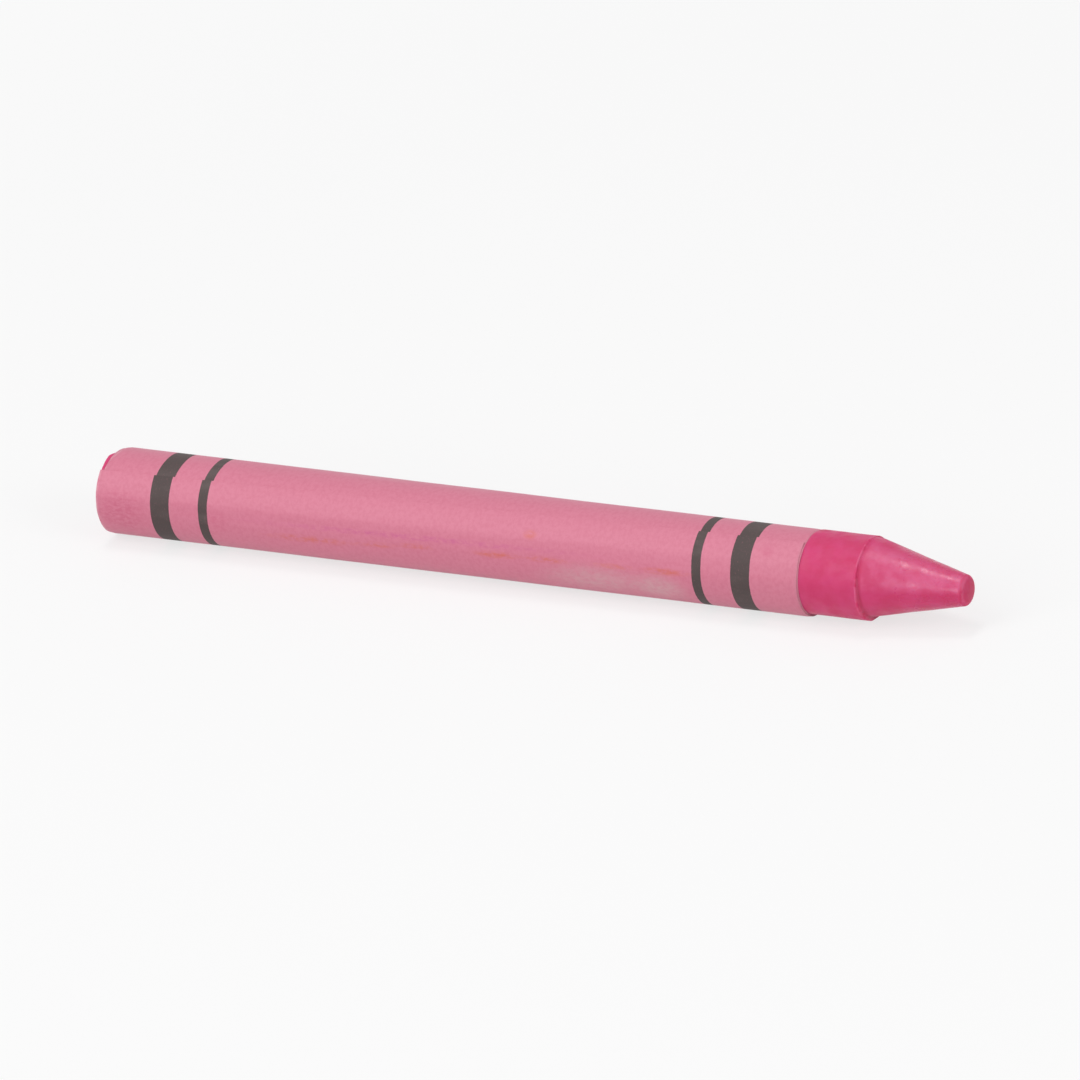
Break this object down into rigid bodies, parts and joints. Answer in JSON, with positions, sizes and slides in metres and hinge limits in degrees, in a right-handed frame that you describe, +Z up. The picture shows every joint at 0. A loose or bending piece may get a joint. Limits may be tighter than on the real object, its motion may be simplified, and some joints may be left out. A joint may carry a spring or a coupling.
{
  "type": "wax crayon",
  "caption": "Round wax crayon with a stepped conical tip, in a rolled and pasted paper label with dark printed bands near both ends.",
  "frame": {"origin": "on the surface that the crayon lies on, under the middle of its length", "axes": "+X along the crayon's axis from its base to its tip, +Z up from the surface, +Y to the left of the tip"},
  "size_m": [0.09, 0.0082, 0.0082],
  "materials": {
    "wax": "pigmented wax with a soft sheen",
    "paste": "dried starch paste, dull",
    "label_paper": "uncoated printed paper, matte"
  },
  "bodies": {
    "root": {"wax_stick": "wax", "paste_film": "paste", "paper_label": "label_paper"}
  },
  "joints": []
}
